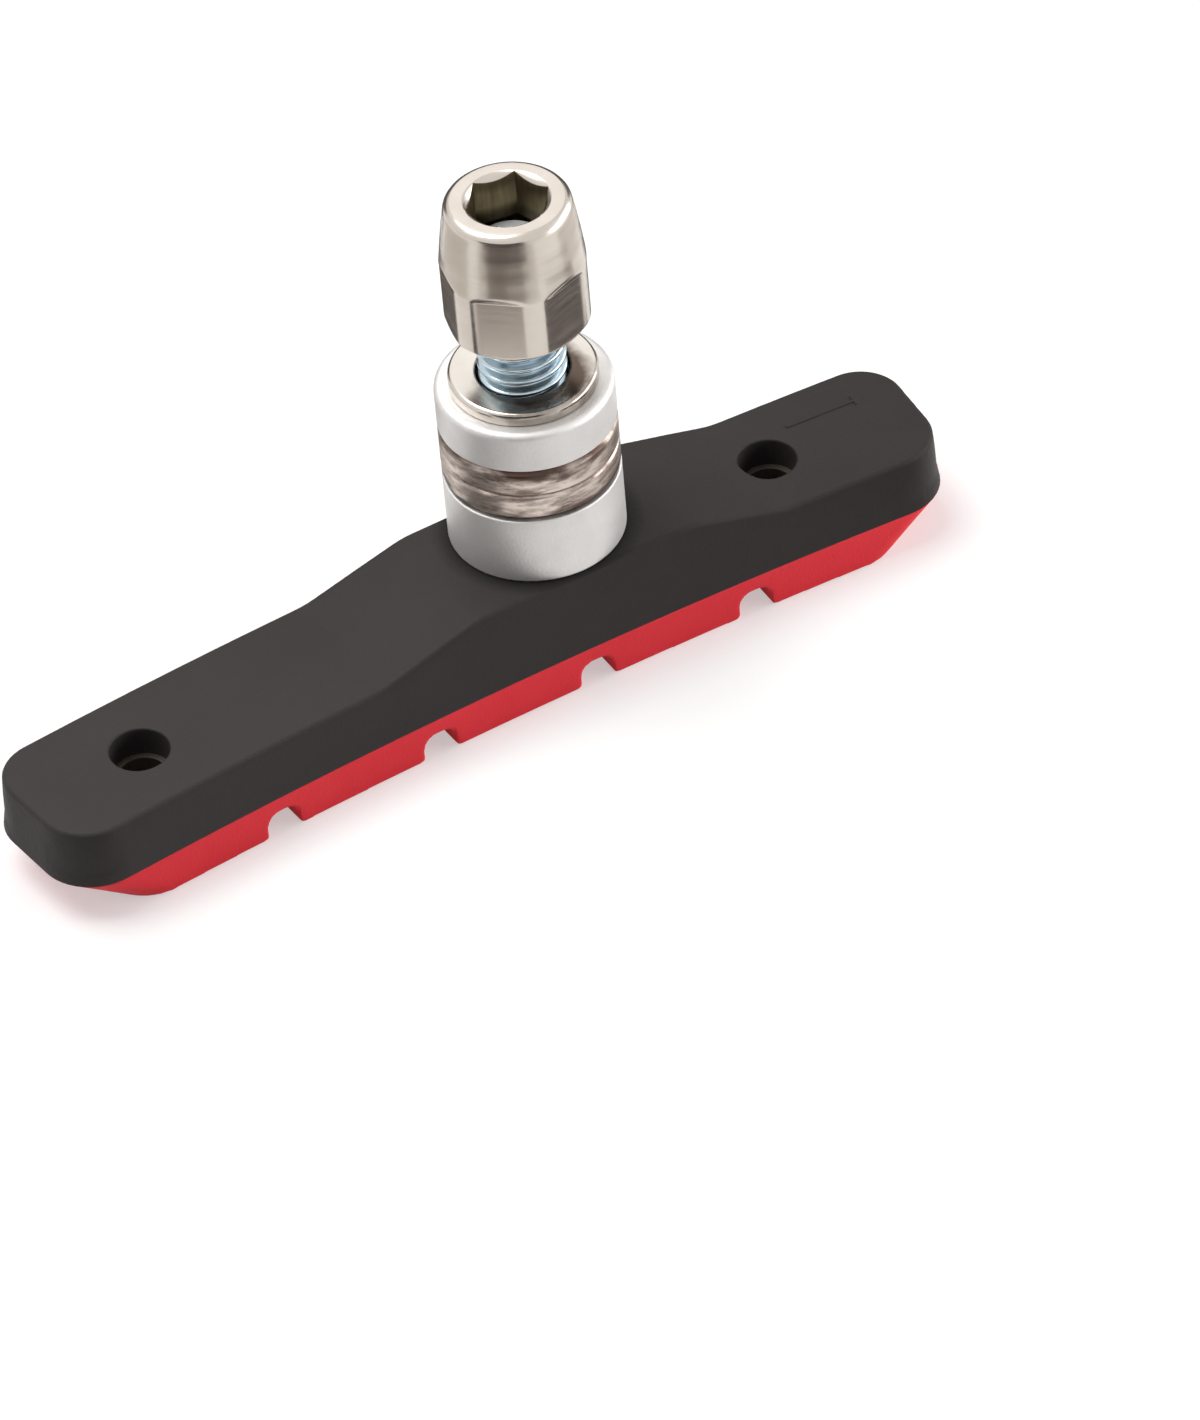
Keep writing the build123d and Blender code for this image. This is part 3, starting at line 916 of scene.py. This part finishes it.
def nut_rows():
    """Rings of the nut: up the outside, over the top, down the socket and the bore, out under the foot."""
    foot = nut_low.z / MM
    top = nut_high.z / MM
    skirt_top = foot + NUT_SKIRT_HEIGHT
    barrel_top = top - BARREL_END
    socket_floor = top - SOCKET_DEPTH
    socket_corner = SOCKET_FLAT / cos(radians(HEXAGON_STEP / 2))
    barrel = []
    for step in range(BARREL_STEPS + 1):
        z = skirt_top + (barrel_top - skirt_top) * step / BARREL_STEPS
        part = (z - skirt_top) / (top - skirt_top)
        taper = NUT_SKIRT_RADIUS + (NUT_TOP_RADIUS - NUT_SKIRT_RADIUS) * part
        ripple = TURNING_RIPPLE * sin(2 * pi * (z - skirt_top) / TURNING_RIPPLE_PITCH)
        barrel.append((taper + NUT_BULGE * 4 * part * (1 - part) + ripple, z, 0))
    outside = eased(
        [
            (NUT_BORE, foot, NUT_BORE_ROUND),
            (NUT_SKIRT_RADIUS - FOOT_CHAMFER, foot, FOOT_CHAMFER_ROUND),
            (NUT_SKIRT_RADIUS, foot + FOOT_CHAMFER, FOOT_CHAMFER_ROUND),
            *barrel,
            (NUT_TOP_RADIUS, top, NUT_TOP_ROUND),
            (socket_corner + SOCKET_RING, top, 0),
        ]
    )
    outside = [outside[0]] + fine(outside[1:], OUTLINE_STEP)
    angles = [c * 360 / NUT_COLUMNS for c in range(NUT_COLUMNS)]
    rows = []
    for r, z in outside:
        flat = NUT_FLAT + max(0, z - skirt_top) * tan(radians(NUT_FLAT_RUN_OUT))
        sides = [hexagon_reach(flat, NUT_CORNER_ANGLE, a) for a in angles]
        rows.append([(soft_smaller(r, side, NUT_FLAT_BLEND), z) for side in sides])
    wall = [hexagon_reach(SOCKET_FLAT, SOCKET_CORNER_ANGLE, a) for a in angles]
    mouth = [top - (socket_corner - r) - SOCKET_EDGE for r in wall]
    rows.append([(socket_corner + SOCKET_EDGE, top - SOCKET_EDGE_SINK)] * NUT_COLUMNS)
    rows.append([(r + SOCKET_EDGE, z + SOCKET_EDGE) for r, z in zip(wall, mouth)])
    rows.append([(r, z - SOCKET_EDGE) for r, z in zip(wall, mouth)])
    for part in SOCKET_WALL_PARTS:
        rows.append([(r, z + (socket_floor - z) * part) for r, z in zip(wall, mouth)])
    rows.append([(NUT_BORE, socket_floor)] * NUT_COLUMNS)
    return rows


def broached_steel():
    """Socket walls, broached and thinly plated, with old grease: olive brown, half matt and scored."""
    # A broach's real scores are about 0.1 mm wide. They are drawn wider, so that they show.
    score_mm = 0.35
    drawn_out = 0.12
    material, tree, shader, place = new_material("broached_steel", {"Metallic": 1.0})
    down = add(tree, "ShaderNodeMapping", {"Vector": place, "Scale": (1, 1, drawn_out)}).outputs["Vector"]
    scores = add(
        tree, "ShaderNodeTexNoise", {"Vector": down, "Scale": per(score_mm), "Detail": 4}
    ).outputs["Fac"]
    colour = add(
        tree,
        "ShaderNodeMix",
        {FACTOR: scores, COLOUR_A: linear("#5E5341"), COLOUR_B: linear("#928566")},
        data_type="RGBA",
    )
    dull = add(tree, "ShaderNodeMapRange", {"Value": scores, "To Min": 0.5, "To Max": 0.34})
    bump = add(tree, "ShaderNodeBump", {"Height": scores, "Strength": 0.3, "Distance": 0.03 * MM})
    feed(tree, shader, {"Base Color": colour.outputs[MIXED], "Roughness": dull.outputs["Result"]})
    feed(tree, shader, {"Normal": bump.outputs["Normal"]})
    return material


nut = ringed("lining_nut_nickel", nut_rows(), closed=True)
nut.data.materials.append(bright_nickel("turned_nickel", "#D6CEC5", "#C2B8AE", line_mm=0.3, roughest=0.3))
nut.data.materials.append(broached_steel())
# The last bands of faces are the socket's edge, walls and floor, and the bore.
socket_bands = len(SOCKET_WALL_PARTS) + 2
bore_bands = 1
for face in nut.data.polygons[-(socket_bands + bore_bands) * NUT_COLUMNS :]:
    face.material_index = 1
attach(nut, "nut")
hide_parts("lining_nut")


# Studio: a white paper floor under the pad, which stands on its friction face, in the light of four soft
# boxes. Grey and pale cards lie and stand round it, out of the camera's sight. They cast no shadow and
# give no light to the rubber, and only draw the bands that the bright metal mirrors.
FLOOR_SIZE = 1.2
FLOOR_BELOW_PAD = 0.02
FLOOR_LIFT = 0.46
WORLD_FILL = 0.2
CARD_HEIGHT = 0.05
CARD_THICKNESS = 0.01
CARD_STEPS = 24
WALL_DISTANCE = 0.5
WALL_HEIGHT = 0.18


def straight_to_camera(tree):
    """1 on rays that show a surface to the camera, in a mirror or through glass too, and 0 on others."""
    path = add(tree, "ShaderNodeLightPath").outputs
    mirrored = add(
        tree, "ShaderNodeMath", {0: path["Is Camera Ray"], 1: path["Is Glossy Ray"]}, operation="MAXIMUM"
    )
    seen = add(
        tree,
        "ShaderNodeMath",
        {0: mirrored.outputs["Value"], 1: path["Is Transmission Ray"]},
        operation="MAXIMUM",
    )
    return seen.outputs["Value"]


def stage_paper():
    """White paper, matt, shown as pure white to the camera and in reflections, with the shadow kept."""
    # The paper's real fibres are about 0.05 mm wide. They are drawn coarser, so that they show.
    fibre_mm = 0.8
    material, tree, shader, place = new_material(
        "white_paper", {"Roughness": 0.9, "Emission Color": linear("#FFFFFF")}
    )
    fibre = add(tree, "ShaderNodeTexNoise", {"Vector": place, "Scale": per(fibre_mm), "Detail": 3})
    colour = add(
        tree,
        "ShaderNodeMix",
        {FACTOR: fibre.outputs["Fac"], COLOUR_A: linear("#CBCBCA"), COLOUR_B: linear("#CFCFCE")},
        data_type="RGBA",
    )
    lift = add(tree, "ShaderNodeMath", {0: straight_to_camera(tree), 1: FLOOR_LIFT}, operation="MULTIPLY")
    feed(tree, shader, {"Base Color": colour.outputs[MIXED], "Emission Strength": lift.outputs["Value"]})
    return material


edge = FLOOR_SIZE / 2
floor_corners = [(-edge, -edge, 0), (edge, -edge, 0), (edge, edge, 0), (-edge, edge, 0)]
floor_mesh = bpy.data.meshes.new("floor")
floor_mesh.from_pydata(floor_corners, [], [(0, 1, 2, 3)])
floor_mesh.materials.append(stage_paper())
floor = bpy.data.objects.new("floor", floor_mesh)
floor.location.z = -FLOOR_BELOW_PAD * MM
bpy.context.scene.collection.objects.link(floor)

world = bpy.data.worlds.new("studio")
bpy.context.scene.world = world
world.use_nodes = True
sky = world.node_tree
white_or_fill = add(
    sky, "ShaderNodeMapRange", {"Value": straight_to_camera(sky), "To Min": WORLD_FILL, "To Max": 1.0}
)
background = {"Color": linear("#FFFFFF"), "Strength": white_or_fill.outputs["Result"]}
feed(sky, sky.nodes["Background"], background)


def soft_box(name, place, size, watts):
    """Square soft box aimed at the pad, out of the camera's sight."""
    light = bpy.data.lights.new(name, "AREA")
    light.size = size
    light.energy = watts
    box = bpy.data.objects.new(name, light)
    box.location = place
    box.rotation_euler = Vector(place).to_track_quat("Z", "Y").to_euler()
    box.visible_camera = False
    bpy.context.scene.collection.objects.link(box)


soft_box("key_light", (-0.14, 0.18, 0.6), size=0.4, watts=3.3)
soft_box("back_light", (0.35, 0.66, 0.67), size=0.8, watts=0.8)
soft_box("side_light", (0.3, -0.06, 0.1), size=0.2, watts=0.4)
soft_box("fill_light", (0.22, -0.17, 0.05), size=0.12, watts=0.25)


def card_paper(name, dark, light):
    """Dyed card, matt, with a faint paper grain, drawn coarser than a real one so that it shows."""
    grain_mm = 1.5
    material, tree, shader, place = new_material(name, {"Roughness": 0.9})
    grain = add(tree, "ShaderNodeTexNoise", {"Vector": place, "Scale": per(grain_mm), "Detail": 3})
    colour = add(
        tree,
        "ShaderNodeMix",
        {FACTOR: grain.outputs["Fac"], COLOUR_A: linear(dark), COLOUR_B: linear(light)},
        data_type="RGBA",
    )
    feed(tree, shader, {"Base Color": colour.outputs[MIXED]})
    return material


def card(name, points, faces, paper):
    """Card that shows only in the metal's reflections."""
    mesh = bpy.data.meshes.new(name)
    mesh.from_pydata(points, [], faces)
    mesh.materials.append(paper)
    piece = bpy.data.objects.new(name, mesh)
    piece.visible_camera = False
    piece.visible_diffuse = False
    piece.visible_transmission = False
    piece.visible_shadow = False
    bpy.context.scene.collection.objects.link(piece)


def card_turns(start, end):
    """Turns in radians, in even steps between two angles from +X in degrees."""
    return [radians(start + (end - start) * step / CARD_STEPS) for step in range(CARD_STEPS + 1)]


def floor_card(name, start, end, near, far, layer, paper):
    """Card on the floor: part of a ring round the stud, between two angles from +X and two distances in
    mm. Each lies in a layer of its own, so that no two share a plane."""
    height = (CARD_HEIGHT + CARD_THICKNESS * layer) * MM
    points = []
    for turn in card_turns(start, end):
        for out in (near, far):
            x = stud_axis.x + out * cos(turn) * MM
            y = stud_axis.y + out * sin(turn) * MM
            points.append((x, y, height))
    faces = [(2 * i, 2 * i + 1, 2 * i + 3, 2 * i + 2) for i in range(CARD_STEPS)]
    card(name, points, faces, paper)


def upright_card(name, start, end, paper):
    """Tall card that stands round the stage between two angles from +X."""
    points = []
    for turn in card_turns(start, end):
        for z in (0, WALL_HEIGHT):
            points.append((WALL_DISTANCE * cos(turn), WALL_DISTANCE * sin(turn), z))
    faces = [(2 * i, 2 * i + 2, 2 * i + 3, 2 * i + 1) for i in range(CARD_STEPS)]
    card(name, points, faces, paper)


dark_grey = card_paper("dark_grey_card", "#3E3735", "#48403D")
mid_grey = card_paper("mid_grey_card", "#8C8580", "#98918B")
pale_grey = card_paper("pale_grey_card", "#D6D1CB", "#DFDBD6")
# Each has a name, its first and last angle, its nearest and furthest distance, and its paper.
floor_cards = [
    ("pale_left_card", 112, 170, 52, 120, pale_grey),
    ("pale_front_left_card", 188, 202, 62, 120, pale_grey),
    ("pale_front_right_card", 256, 276, 62, 120, pale_grey),
    ("pale_right_card", 322, 386, 57, 120, pale_grey),
    ("flat_card", 200, 230, 38.5, 62, mid_grey),
    ("front_card", 202, 256, 62, 88, mid_grey),
    ("far_front_card", 196, 264, 88, 450, dark_grey),
    ("right_card", 288, 340, 30, 60, dark_grey),
    ("near_back_card", 26, 114, 22, 50, dark_grey),
    ("far_back_card", 26, 103, 55, 450, dark_grey),
]
for layer, (name, start, end, near, far, paper) in enumerate(floor_cards):
    floor_card(name, start, end, near, far, layer, paper)
upright_card("back_wall_card", 20, 110, dark_grey)
upright_card("front_wall_card", 190, 262, dark_grey)


# Camera: a long lens that looks down on the pad's hub side, placed by fitting rings and edges of the
# solids to the photograph. The picture is taken to be 1420 pixels high.
PICTURE_HEIGHT_PX = 1420
FOCAL_LENGTH_PX = 8916.8
CAMERA_DISTANCE = 0.6
SENSOR_HEIGHT = 24.0
NEAREST_SEEN = 0.01
azimuth = radians(-28.403)
elevation = radians(42.095)
roll = radians(-5.125)
aim = Vector((4.696 * MM, -8.305 * MM, 0))

back = Vector((sin(azimuth) * cos(elevation), -cos(azimuth) * cos(elevation), sin(elevation)))
level_right = Vector((cos(azimuth), sin(azimuth), 0))
level_up = back.cross(level_right)
right = level_right * cos(roll) + level_up * sin(roll)
up = level_up * cos(roll) - level_right * sin(roll)
turned = Matrix((right, up, back)).transposed().to_4x4()
lens = bpy.data.cameras.new("camera")
lens.sensor_fit = "VERTICAL"
lens.sensor_height = SENSOR_HEIGHT
lens.lens = FOCAL_LENGTH_PX / PICTURE_HEIGHT_PX * SENSOR_HEIGHT
lens.clip_start = NEAREST_SEEN
camera = bpy.data.objects.new("camera", lens)
camera.matrix_world = Matrix.Translation(aim + back * CAMERA_DISTANCE) @ turned
bpy.context.scene.collection.objects.link(camera)
bpy.context.scene.camera = camera
bpy.context.scene.view_settings.view_transform = "Standard"
